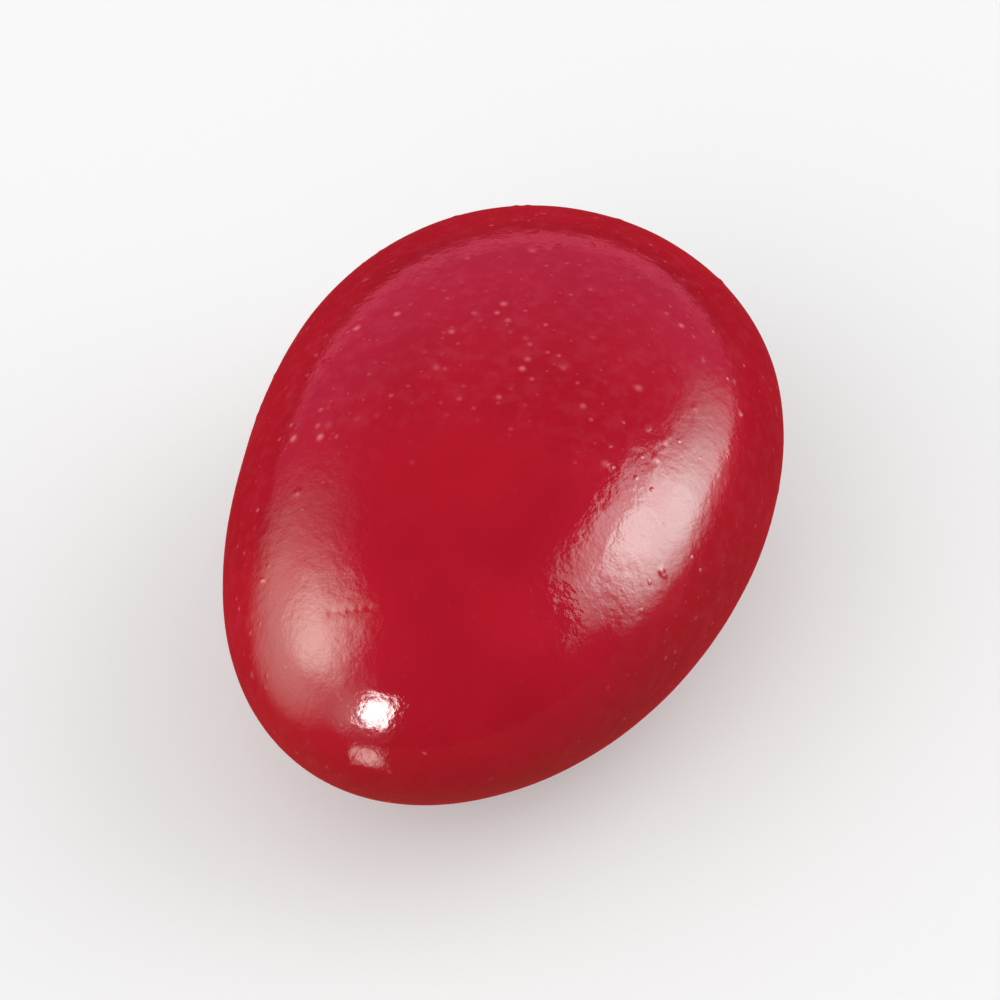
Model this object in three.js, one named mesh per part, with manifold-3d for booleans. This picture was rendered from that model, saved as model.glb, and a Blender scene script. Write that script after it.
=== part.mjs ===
// A sugared almond: a whole almond pan-coated in a thick hard shell of red sugar.
// One solid, in millimetres, +Z up. +X runs towards the narrower tip, and the almond
// lies on one of its two broad faces, on a small flat spot at z = 0.
import * as THREE from 'three';
import { mergeVertices } from 'three/addons/utils/BufferGeometryUtils.js';
import Module from 'manifold-3d';

const wasm = await Module();
wasm.setup();

// Overall sizes of the coated almond as it lies.
const LENGTH = 27;
const WIDTH = 18.4;
const THICKNESS = 12.4;

// How far the round underside would reach below the resting spot that is cut into it.
const REST_DEPTH = 0.12;

// How the shell differs from a plain ellipsoid, each as a share of its half size.
const WIDTH_TAPER = 0.11; // narrower towards the tip, broader towards the round end
const THICKNESS_TAPER = 0.088; // thinner towards the tip
const BOW = 0.06; // the middle stands out more on the +Y side than on the other
const END_FULLNESS = 0.075; // blunt ends
const SHOULDER_FULLNESS = 0.045; // a fuller turn from each broad face to the rim

// Each edge of the starting icosahedron is split into FACETS + 1 lengths.
const FACETS = 14;

// Moves a point of the unit sphere to its place on the almond of unit half sizes.
function shellPoint(point) {
  const { x: along, y: across, z: up } = point;
  const fullness = 1 + END_FULLNESS * along ** 2 + 4 * SHOULDER_FULLNESS * (across * up) ** 2;
  const bow = BOW * (1 - along ** 2);
  return new THREE.Vector3(
    along,
    across * fullness * (1 - WIDTH_TAPER * along) + bow,
    up * fullness * (1 - THICKNESS_TAPER * along),
  );
}

// The whole round shell, centred in x and y, with its lowest point REST_DEPTH below z = 0.
function shellGeometry() {
  let shell = new THREE.IcosahedronGeometry(1, FACETS);
  shell.deleteAttribute('normal');
  shell.deleteAttribute('uv');
  shell = mergeVertices(shell);
  const places = shell.getAttribute('position');
  const point = new THREE.Vector3();
  for (let i = 0; i < places.count; i++) {
    point.fromBufferAttribute(places, i).normalize();
    const placed = shellPoint(point);
    places.setXYZ(i, placed.x, placed.y, placed.z);
  }
  shell.center();
  const size = shell.boundingBox.getSize(new THREE.Vector3());
  const roundHeight = THICKNESS + REST_DEPTH;
  shell.scale(LENGTH / size.x, WIDTH / size.y, roundHeight / size.z);
  shell.translate(0, 0, roundHeight / 2 - REST_DEPTH);
  return shell;
}

// A block that fills the space just under z = 0, to cut the resting spot.
function groundGeometry() {
  let ground = new THREE.BoxGeometry(2 * LENGTH, 2 * WIDTH, THICKNESS);
  ground.deleteAttribute('normal');
  ground.deleteAttribute('uv');
  ground = mergeVertices(ground);
  ground.translate(0, 0, -THICKNESS / 2);
  return ground;
}

// A closed geometry with shared vertices, as a solid that can be joined or cut.
function toSolid(geometry) {
  const vertProperties = new Float32Array(geometry.getAttribute('position').array);
  const triVerts = new Uint32Array(geometry.getIndex().array);
  return new wasm.Manifold(new wasm.Mesh({ numProp: 3, vertProperties, triVerts }));
}

// A solid's surface, as a geometry with normals.
function toGeometry(solid) {
  const mesh = solid.getMesh();
  const geometry = new THREE.BufferGeometry();
  geometry.setAttribute('position', new THREE.BufferAttribute(mesh.vertProperties, mesh.numProp));
  geometry.setIndex(new THREE.BufferAttribute(mesh.triVerts, 1));
  geometry.computeVertexNormals();
  return geometry;
}

const redSugar = new THREE.MeshStandardMaterial({
  color: 0xb01c2a,
  roughness: 0.18,
  metalness: 0,
});

const shell = toSolid(shellGeometry()).subtract(toSolid(groundGeometry()));
const almond = new THREE.Mesh(toGeometry(shell), redSugar);
almond.name = 'sugared_almond';

const part = new THREE.Group();
part.add(almond);

export default part;
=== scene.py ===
import math
import random

import bmesh
import bpy
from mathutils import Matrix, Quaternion, Vector, kdtree, noise


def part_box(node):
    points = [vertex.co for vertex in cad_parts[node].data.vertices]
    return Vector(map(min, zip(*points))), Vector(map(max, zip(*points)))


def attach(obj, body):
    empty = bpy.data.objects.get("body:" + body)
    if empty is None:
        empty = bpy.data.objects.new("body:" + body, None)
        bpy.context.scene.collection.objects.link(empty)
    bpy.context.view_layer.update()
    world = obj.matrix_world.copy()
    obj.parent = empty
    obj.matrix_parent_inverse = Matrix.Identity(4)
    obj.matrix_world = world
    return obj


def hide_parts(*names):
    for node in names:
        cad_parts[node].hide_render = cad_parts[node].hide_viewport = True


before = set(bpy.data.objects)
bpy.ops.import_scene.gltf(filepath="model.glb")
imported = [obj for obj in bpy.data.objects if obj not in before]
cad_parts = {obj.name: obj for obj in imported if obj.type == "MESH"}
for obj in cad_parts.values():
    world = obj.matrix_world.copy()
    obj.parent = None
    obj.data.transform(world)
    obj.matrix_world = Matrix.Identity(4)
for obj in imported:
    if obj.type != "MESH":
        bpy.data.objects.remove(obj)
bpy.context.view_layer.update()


# ---- Sugar shell ---------------------------------------------------------------------------
# The almond's whole outside: many thin coats of red sugar syrup, built up on the kernel as it
# tumbles in a warm turning pan, then polished with wax. The pan leaves it smooth but never
# quite even: broad swells, a fine orange peel, grains of sugar under the last coats, and pits.

MM = 0.001

low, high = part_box("sugared_almond")
length = high.x - low.x
width = high.y - low.y
height = high.z - low.z
middle = (low + high) / 2

# The round form, as shares of its half sizes: the same rules as the solid inside.
WIDTH_TAPER = 0.11
THICKNESS_TAPER = 0.088
BOW = 0.06
END_FULLNESS = 0.075
SHOULDER_FULLNESS = 0.045
REST_DEPTH = 0.12 * MM
CELLS = 92  # across each of the six patches that the skin starts from


def unit_form(point):
    """A point of the unit sphere, moved to the almond of unit half sizes."""
    along, across, up = point
    fullness = 1 + END_FULLNESS * along**2 + 4 * SHOULDER_FULLNESS * (across * up) ** 2
    bow = BOW * (1 - along**2)
    return Vector((
        along,
        across * fullness * (1 - WIDTH_TAPER * along) + bow,
        up * fullness * (1 - THICKNESS_TAPER * along),
    ))


def even_sphere(point):
    """A point on the cube of half size 1, moved to the sphere so that the cells stay even."""
    return Vector([math.tan(c * math.pi / 4) for c in point]).normalized()


skin = bmesh.new()
bmesh.ops.create_cube(skin, size=2)
bmesh.ops.subdivide_edges(skin, edges=skin.edges[:], cuts=CELLS - 1, use_grid_fill=True)
for vert in skin.verts:
    vert.co = even_sphere(vert.co)

# Overall stretch from the unit form to the real size
points = [unit_form(vert.co) for vert in skin.verts]
spans = []
for axis in range(3):
    values = [p[axis] for p in points]
    spans.append((min(values), max(values)))
target = (length, width, height + REST_DEPTH)
stretch = [target[a] / (spans[a][1] - spans[a][0]) for a in range(3)]
centre = [(spans[a][1] + spans[a][0]) / 2 for a in range(3)]


def shell_place(direction):
    """Where a direction from the almond's middle meets the smooth round shell."""
    p = unit_form(direction)
    place = Vector([(p[a] - centre[a]) * stretch[a] for a in range(3)])
    place.z += (height + REST_DEPTH) / 2 - REST_DEPTH
    return place


# Grains and pits under the last coats: they lie all over the almond, but fewer below, and one
# patch on the slope of its narrow tip was rubbed quite clean.
CLEAN_PLACE = Vector((8.6, 1.1, 10.5)) * MM
CLEAN_REACH = (4.6 * MM, 8.8 * MM)  # grains start at the first distance and are full at the second
draw = random.Random(41)


def random_direction():
    up = draw.uniform(-1, 1)
    turn = draw.uniform(0, 2 * math.pi)
    flat = math.sqrt(1 - up * up)
    return Vector((flat * math.cos(turn), flat * math.sin(turn), up))


def grain_share(direction):
    """How grainy the coat is that way: 0 in the clean patch and 1 well away from it."""
    start, full = CLEAN_REACH
    away = (shell_place(direction) - CLEAN_PLACE).length
    return min(max((away - start) / (full - start), 0), 1)


def grainy_direction():
    """A random direction, seldom one in the clean patch or on the underside."""
    while True:
        direction = random_direction()
        share = grain_share(direction)
        if direction.z < 0.1:
            share *= 0.35
        if draw.random() < 0.02 + 0.98 * share:
            return direction


# The grains that catch the eye lie on the top, most of them in a broad band across its middle
LARGE_GRAINS = 66
LARGE_GRAIN_RISE = 0.018 * MM
BAND_SPREAD = (0.28, 0.45)  # along and across, as shares of the almond's half sizes
BAND_EDGE = 0.92


def top_direction():
    """A random direction on the top, mostly in the band, and seldom one in the clean patch."""
    while True:
        along, across = (draw.gauss(0, spread) for spread in BAND_SPREAD)
        out = math.hypot(along, across)
        if out < BAND_EDGE:
            direction = Vector((along, across, math.sqrt(1 - out * out)))
            if draw.random() < grain_share(direction):
                return direction


# Shallow chips, close together in a short row on the shoulder of the narrow tip
CHIPS = 5
CHIP_RADIUS = 0.19 * MM
CHIP_ROW_START = Vector((0.75, -0.25, 0.61))
CHIP_ROW_END = Vector((0.73, -0.12, 0.67))

# The other grains and the pits. A run is a few small grains in a row.
SCATTERED_GRAINS = 120
GRAIN_RUNS = 16
RUN_STEP = 0.011
PITS = 12

# A speck is a direction, a radius, a height and a paleness: where the red coat is thin on a
# grain, the white of the sugar shows through. Scattered grains on the top are only faint ones,
# because the large grains are there.
specks = []
for _ in range(SCATTERED_GRAINS):
    radius = (0.10 + 0.08 * draw.random() ** 2) * MM
    paleness = 0.10 + 0.5 * draw.random() ** 1.8
    direction = grainy_direction()
    if direction.z + 0.5 * direction.x > 0.3:
        paleness *= 0.45
    specks.append((direction, radius, radius * draw.uniform(0.08, 0.22), paleness))
for _ in range(GRAIN_RUNS):
    start = grainy_direction()
    run = random_direction().cross(start).normalized() * RUN_STEP
    for step in range(draw.randint(2, 4)):
        radius = draw.uniform(0.06, 0.09) * MM
        spot = (start + run * step).normalized()
        specks.append((spot, radius, radius * 0.2, draw.uniform(0.3, 0.8)))
for step in range(CHIPS):
    spot = CHIP_ROW_START.lerp(CHIP_ROW_END, step / (CHIPS - 1)).normalized()
    specks.append((spot, CHIP_RADIUS, CHIP_RADIUS * -0.075, -0.2))
# Pits get a paleness below zero, which colours them darker towards their middle.
for _ in range(PITS):
    radius = draw.uniform(0.05, 0.085) * MM
    specks.append((random_direction(), radius, -radius * 0.16, -1.0))
for _ in range(LARGE_GRAINS):
    radius = draw.uniform(0.12, 0.23) * MM
    paleness = 0.24 + 0.60 * draw.random() ** 2.2
    specks.append((top_direction(), radius, LARGE_GRAIN_RISE, paleness))

speck_tree = kdtree.KDTree(len(specks))
for index, (direction, *_) in enumerate(specks):
    speck_tree.insert(shell_place(direction), index)
speck_tree.balance()
SPECK_REACH = 2.2  # radii from a grain's middle to where its slope has died away
SPECK_SEARCH = 0.5 * MM  # about as far as the largest grain reaches
SPECK_STEEPNESS = 1.6

# Finer cells round each grain and pit, so that its slope is a true shape
fine = set()
for face in skin.faces:
    place = shell_place(face.calc_center_median().normalized())
    for _, index, distance in speck_tree.find_range(place, SPECK_SEARCH):
        if distance < specks[index][1] * SPECK_REACH:
            fine.update(face.edges)
            break
bmesh.ops.subdivide_edges(skin, edges=list(fine), cuts=2, use_grid_fill=True)

for vert in skin.verts:
    vert.co = shell_place(vert.co.normalized())
skin.normal_update()


def ripple(place, size, seed):
    """Smooth noise from -1 to 1 whose humps are about that size."""
    return noise.noise(place / size + Vector((seed, seed * 0.7, -seed)))


# Unevenness of the coats: the height of the humps and their size, both in mm, and a seed
UNEVENNESS = ((0.075, 7.5, 3.1), (0.014, 2.6, 11.7), (0.0035, 1.0, 27.3))

grain_layer = skin.verts.layers.float.new("grain")
moves = []
for vert in skin.verts:
    place = vert.co
    rise = 0
    for hump, size, seed in UNEVENNESS:
        rise += hump * MM * ripple(place, size * MM, seed)
    for _, index, distance in speck_tree.find_range(place, SPECK_SEARCH):
        _, radius, peak, paleness = specks[index]
        share = math.exp(-((distance / radius) ** 2) * SPECK_STEEPNESS)
        rise += peak * share
        vert[grain_layer] += share * paleness
    moves.append(vert.normal * rise)
for vert, move in zip(skin.verts, moves):
    vert.co += move
    vert.co.z = max(vert.co.z, 0)

mesh = bpy.data.meshes.new("sugar_shell")
skin.to_mesh(mesh)
skin.free()
shell = bpy.data.objects.new("sugar_shell", mesh)
bpy.context.collection.objects.link(shell)
for polygon in mesh.polygons:
    polygon.use_smooth = True


class Wire:
    """A socket of a shader tree, on which Python's operators add Math nodes."""

    def __init__(self, tree, socket=None):
        self.tree = tree
        self.socket = socket

    def node(self, kind, settings, inputs, output=0):
        """Adds a node: first its settings, then the values or wires of its sockets."""
        made = self.tree.nodes.new(kind)
        for name, value in settings.items():
            setattr(made, name, value)
        for name, value in inputs.items():
            if isinstance(value, Wire):
                self.tree.links.new(value.socket, made.inputs[name])
            else:
                made.inputs[name].default_value = value
        return Wire(self.tree, made.outputs[output] if made.outputs else None)

    def math(self, operation, first, second=0.0):
        return self.node("ShaderNodeMath", {"operation": operation}, {0: first, 1: second})

    def __add__(self, other):
        return self.math("ADD", self, other)

    __radd__ = __add__

    def __sub__(self, other):
        return self.math("SUBTRACT", self, other)

    def __rsub__(self, other):
        return self.math("SUBTRACT", other, self)

    def __mul__(self, other):
        return self.math("MULTIPLY", self, other)

    __rmul__ = __mul__

    def clamp(self, start, end):
        """From 0 at start to 1 at end, eased."""
        return self.node(
            "ShaderNodeMapRange",
            {"interpolation_type": "SMOOTHSTEP"},
            {"Value": self, "From Min": start, "From Max": end},
        )


def mix_color(wire, factor, first, second):
    return wire.node(
        "ShaderNodeMix",
        {"data_type": "RGBA"},
        {"Factor": factor, "A": first, "B": second},
        output="Result",
    )


def sugar_material():
    material = bpy.data.materials.new("polished red sugar")
    material.use_nodes = True
    tree = material.node_tree
    tree.nodes.clear()
    start = Wire(tree)
    place = start.node("ShaderNodeTexCoord", {}, {}, output="Object")

    def cloud(size, detail=2.0, rough=0.5, shift=(0, 0, 0)):
        moved = start.node("ShaderNodeVectorMath", {"operation": "ADD"}, {0: place, 1: shift})
        return start.node(
            "ShaderNodeTexNoise",
            {},
            {"Vector": moved, "Scale": 1 / size, "Detail": detail, "Roughness": rough},
        )

    def dots(spacing, radius, share, shift=(0, 0, 0)):
        """Soft round dots, 1 at their middle, in that share of the cells of a scattered grid."""
        moved = start.node("ShaderNodeVectorMath", {"operation": "ADD"}, {0: place, 1: shift})
        inputs = {"Vector": moved, "Scale": 1 / spacing}
        reach = start.node("ShaderNodeTexVoronoi", {}, inputs, output="Distance")
        pick = start.node("ShaderNodeTexVoronoi", {}, inputs, output="Color")
        chance = start.node("ShaderNodeSeparateColor", {}, {"Color": pick}, output="Red")
        chosen = start.math("LESS_THAN", chance, share)
        return (1 - reach.clamp(0.2 * radius / spacing, radius / spacing)) * chosen

    away = start.node(
        "ShaderNodeVectorMath",
        {"operation": "DISTANCE"},
        {0: place, 1: CLEAN_PLACE},
        output="Value",
    )
    grainy = away.clamp(*CLEAN_REACH)

    tone = cloud(5 * MM, 3.0)
    grain = start.node("ShaderNodeAttribute", {"attribute_name": "grain"}, {}, output="Fac")
    dust = dots(0.46 * MM, 0.12 * MM, 0.18) * (0.06 + 0.94 * grainy)
    fine_dust = dots(0.29 * MM, 0.075 * MM, 0.15, (0.004, 0.001, 0.002)) * grainy
    bloom = cloud(0.6 * MM, 3.0, 0.65, (0.002, 0.005, 0.001)).clamp(0.42, 0.70) * grainy
    deep = (0.363, 0.0062, 0.0168, 1)
    bright = (0.413, 0.0078, 0.0200, 1)
    color = mix_color(start, tone.clamp(0.3, 0.7), deep, bright)
    color = mix_color(start, bloom * 0.068, color, (0.66, 0.12, 0.21, 1))
    color = mix_color(start, fine_dust * 0.22, color, (0.74, 0.17, 0.21, 1))
    color = mix_color(start, dust * 0.31, color, (0.76, 0.18, 0.21, 1))
    color = mix_color(start, grain.clamp(0.05, 1.0) * 0.8, color, (0.82, 0.20, 0.22, 1))
    # Where the paleness is below zero, at the pits, the red is mixed darker towards their middle.
    color = mix_color(start, (0 - grain).clamp(0.3, 1.0) * 0.3, color, (0.25, 0.006, 0.012, 1))

    scuff = cloud(1.2 * MM, 4.0, 0.65).clamp(0.52, 0.75)
    roughness = 0.052 + scuff * 0.045 + grainy * 0.02

    peel = cloud(0.26 * MM, 2.0, 0.55)
    wander = cloud(0.9 * MM, 1.0, 0.5, (0.01, 0.02, 0.03))
    relief = peel * 0.0115 + wander * 0.018 + dust * 0.016
    normal = start.node("ShaderNodeBump", {}, {"Height": relief, "Distance": MM, "Strength": 1.0})
    surface = start.node(
        "ShaderNodeBsdfPrincipled",
        {},
        {"Base Color": color, "Roughness": roughness, "IOR": 1.5, "Normal": normal},
    )
    start.node("ShaderNodeOutputMaterial", {}, {"Surface": surface})
    return material


mesh.materials.append(sugar_material())
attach(shell, "root")
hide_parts("sugared_almond")


# ---- Floor ---------------------------------------------------------------------------------
# A plain pale table top that the almond lies on, far wider than the view: not part of the
# almond. It glows a little by itself so that it stays as even and pale as lit paper.

FLOOR_RADIUS = 3.0
FLOOR_GAP = 0.02 * MM
FLOOR_COLOR = (0.70, 0.70, 0.70, 1)
FLOOR_GLOW = 0.17

table_top = bmesh.new()
bmesh.ops.create_circle(table_top, cap_ends=True, segments=64, radius=FLOOR_RADIUS)
bmesh.ops.translate(table_top, vec=(0, 0, -FLOOR_GAP), verts=table_top.verts[:])
mesh = bpy.data.meshes.new("floor")
table_top.to_mesh(mesh)
table_top.free()
floor = bpy.data.objects.new("floor", mesh)
bpy.context.collection.objects.link(floor)

material = bpy.data.materials.new("pale table top")
material.use_nodes = True
material.node_tree.nodes.clear()
start = Wire(material.node_tree)
surface = start.node(
    "ShaderNodeBsdfPrincipled",
    {},
    {
        "Base Color": FLOOR_COLOR,
        "Roughness": 0.9,
        "Specular IOR Level": 0.0,
        "Emission Color": (1, 1, 1, 1),
        "Emission Strength": FLOOR_GLOW,
    },
)
start.node("ShaderNodeOutputMaterial", {}, {"Surface": surface})
mesh.materials.append(material)
floor.visible_diffuse = False
floor.visible_glossy = False
floor.visible_shadow = False


# ---- Camera --------------------------------------------------------------------------------
# It stands in front of the almond's narrow tip and a little to its side, and looks down at
# half a right angle, from about a hand's length away through a long lens.

VIEW_AZIMUTH = math.radians(108)
VIEW_ELEVATION = math.radians(45)
VIEW_DISTANCE = 0.150
LENS = 155

back = Vector((
    math.sin(VIEW_AZIMUTH) * math.cos(VIEW_ELEVATION),
    -math.cos(VIEW_AZIMUTH) * math.cos(VIEW_ELEVATION),
    math.sin(VIEW_ELEVATION),
))
camera_data = bpy.data.cameras.new("camera")
camera_data.lens = LENS
camera_data.clip_start = 0.01
camera = bpy.data.objects.new("camera", camera_data)
bpy.context.collection.objects.link(camera)
camera.location = middle + back * VIEW_DISTANCE
camera.rotation_euler = (-back).to_track_quat("-Z", "Y").to_euler()
bpy.context.scene.camera = camera


# ---- Lights --------------------------------------------------------------------------------
# A studio table: a soft box on each side, each with a weaker glow round it, a bare lamp in front
# on the left, and a dim wall behind. These only show as pictures in the polish, among them the
# red that the almonds all round throw back, and the lamp's own image in the table.

heading = Vector((-back.x, -back.y, 0)).normalized()
right = Vector((heading.y, -heading.x, 0))


def light_direction(turn, rise):
    """Turn is 0 behind the almond as the camera sees it and 90 on its right; both in degrees."""
    turn = math.radians(turn)
    rise = math.radians(rise)
    flat = heading * math.cos(turn) + right * math.sin(turn)
    return flat * math.cos(rise) + Vector((0, 0, math.sin(rise)))


def gloss_light(name, turn, rise, distance, size, radiance, color, across, upwards, lean=0):
    """A light that only shows as a reflection. Its face is radiance bright between the shares
    of its width and height that across and upwards give, and eases to dark at its edges.
    Lean tips its top to the right, in degrees."""
    data = bpy.data.lights.new(name, "AREA")
    data.shape = "RECTANGLE"
    data.size, data.size_y = size
    data.color = color
    data.energy = radiance * math.pi * data.size * data.size_y
    data.use_nodes = True
    data.node_tree.nodes.clear()
    start = Wire(data.node_tree)
    face = start.node("ShaderNodeNewGeometry", {}, {}, output="Parametric")
    strength = 1
    for axis, (first, last) in (("X", across), ("Y", upwards)):
        share = start.node("ShaderNodeSeparateXYZ", {}, {"Vector": face}, output=axis)
        strength = share.clamp(0, first) * (1 - share.clamp(last, 1)) * strength
    emission = start.node("ShaderNodeEmission", {}, {"Strength": strength})
    start.node("ShaderNodeOutputLight", {}, {"Surface": emission})
    light = bpy.data.objects.new(name, data)
    bpy.context.collection.objects.link(light)
    direction = light_direction(turn, rise)
    light.location = middle + direction * distance
    facing = (-direction).to_track_quat("-Z", "Y")
    light.rotation_euler = (facing @ Quaternion((0, 0, 1), math.radians(lean))).to_euler()
    light.visible_diffuse = False


COOL = (0.69, 1, 0.95)
COOLISH = (0.78, 1, 0.86)
RED = (1, 0.03, 0.25)
PEAKED = (0.48, 0.52)
gloss_light("right box", 89.8, 29, 0.30, (0.194, 0.392), 3.9, COOL, (0.50, 0.66), (0.49, 0.88), -18)
gloss_light("right box glow", 82.2, 24, 0.34, (0.309, 0.320), 5.6, COOL, (0.34, 0.50), (0.50, 0.88), -12)
gloss_light("right box side", 69.2, 23.9, 0.34, (0.349, 0.218), 3.1, COOL, PEAKED, (0.23, 0.51), -12)
gloss_light("right box top", 98.5, 40, 0.32, (0.144, 0.292), 2.8, COOL, (0.13, 0.80), (0.50, 0.62), -27)
gloss_light("left box", -95.8, 39.7, 0.30, (0.278, 0.282), 6.2, COOLISH, (0.46, 0.50), (0.45, 0.50), 33)
gloss_light("left box glow", -97.4, 29.2, 0.34, (0.704, 0.456), 1.34, COOLISH, (0.30, 0.96), (0.50, 0.55), -5)
gloss_light("left box low", -89.6, 9.9, 0.31, (0.51, 0.416), 2.37, COOLISH, (0.41, 0.50), (0.50, 0.58), -57)
gloss_light("red round the right box", 86, 44, 0.34, (0.54, 0.46), 1.6, (1, 0.03, 0.20), PEAKED, PEAKED)
gloss_light("red under the right box", 70, 9, 0.34, (0.44, 0.20), 1.9, (1, 0.03, 0.10), PEAKED, PEAKED)
gloss_light("red round the left box", -94, 38, 0.34, (0.66, 0.52), 0.9, RED, PEAKED, PEAKED)
gloss_light("red low on the right", 109, 11, 0.34, (0.40, 0.38), 0.9, (1, 0.03, 0.15), PEAKED, PEAKED)
gloss_light("red low on the left", -126, -6, 0.34, (0.44, 0.42), 0.6, (1, 0.02, 0.10), PEAKED, PEAKED)
gloss_light("wall", -1, 32, 0.40, (1.4, 0.40), 0.72, (1, 0.16, 0.48), (0.28, 0.63), (0.12, 0.35))
gloss_light("wall foot", -4, 12, 0.40, (1.0, 0.07), 0.6, (1, 0.28, 0.30), (0.3, 0.7), PEAKED)
gloss_light("lamp", -151, 28, 0.5, (0.20, 0.28), 45.0, (1, 1, 1), PEAKED, (0.45, 0.55))
gloss_light("lamp glow", -146, 20, 0.5, (0.42, 0.48), 1.2, (1, 0.72, 0.72), PEAKED, PEAKED)
gloss_light("lamp in table", -152, -16, 0.5, (0.20, 0.32), 7.6, (1, 0.90, 0.82), PEAKED, (0.45, 0.55))

# The room: pale where it is seen, dim in the polish, and for the even light an open sky that is
# brightest low down in front on the left and behind on the right. Below the table's level there
# is only the red that almonds lying all round throw back.
ROOM_COLOR = (0.92, 0.92, 0.92, 1)
ROOM_IN_POLISH = (0.03, 0.025, 0.02, 1)
RED_BEHIND = (0.43, 0.020, 0.028, 1)
RED_IN_FRONT = (0.40, 0.108, 0.072, 1)
DIM_RED_BELOW = (0.13, 0.006, 0.008, 1)
RED_BELOW = (0.46, 0.014, 0.020, 1)
SKY_GLOW = 0.62
SKY_PATCHES = ((-135, 1.85), (75, 1.65), (-45, 0.4))  # turn and strength
SKY_PATCH_RISE = 12

world = bpy.data.worlds.new("room")
bpy.context.scene.world = world
world.use_nodes = True
world.node_tree.nodes.clear()
start = Wire(world.node_tree)
camera_ray = start.node("ShaderNodeLightPath", {}, {}, output="Is Camera Ray")
glossy_ray = start.node("ShaderNodeLightPath", {}, {}, output="Is Glossy Ray")
way = start.node("ShaderNodeTexCoord", {}, {}, output="Generated")
rise = start.node("ShaderNodeSeparateXYZ", {}, {"Vector": way}, output="Z")


def facing(direction):
    """How nearly a way into the room is that direction: 1 along it, -1 against it."""
    inputs = {0: way, 1: direction}
    return start.node("ShaderNodeVectorMath", {"operation": "DOT_PRODUCT"}, inputs, output="Value")


above = rise.clamp(-0.06, 0.03)
low_red = mix_color(start, facing(-heading).clamp(-0.8, 0.3), RED_BEHIND, RED_IN_FRONT)
polish = mix_color(start, above, low_red, ROOM_IN_POLISH)
glow = SKY_GLOW
for turn, strength in SKY_PATCHES:
    glow = facing(light_direction(turn, SKY_PATCH_RISE)).clamp(0.5, 1) * strength + glow
sky = start.node("ShaderNodeCombineColor", {}, {"Red": glow, "Green": glow, "Blue": glow})
front_left = facing(light_direction(-125, -28)).clamp(0.2, 1)
below = mix_color(start, front_left, DIM_RED_BELOW, RED_BELOW)
even = mix_color(start, above, below, sky)
unseen = mix_color(start, glossy_ray, even, polish)
shown = mix_color(start, camera_ray, unseen, ROOM_COLOR)
background = start.node("ShaderNodeBackground", {}, {"Color": shown})
start.node("ShaderNodeOutputWorld", {}, {"Surface": background})
bpy.context.scene.view_settings.view_transform = "Standard"
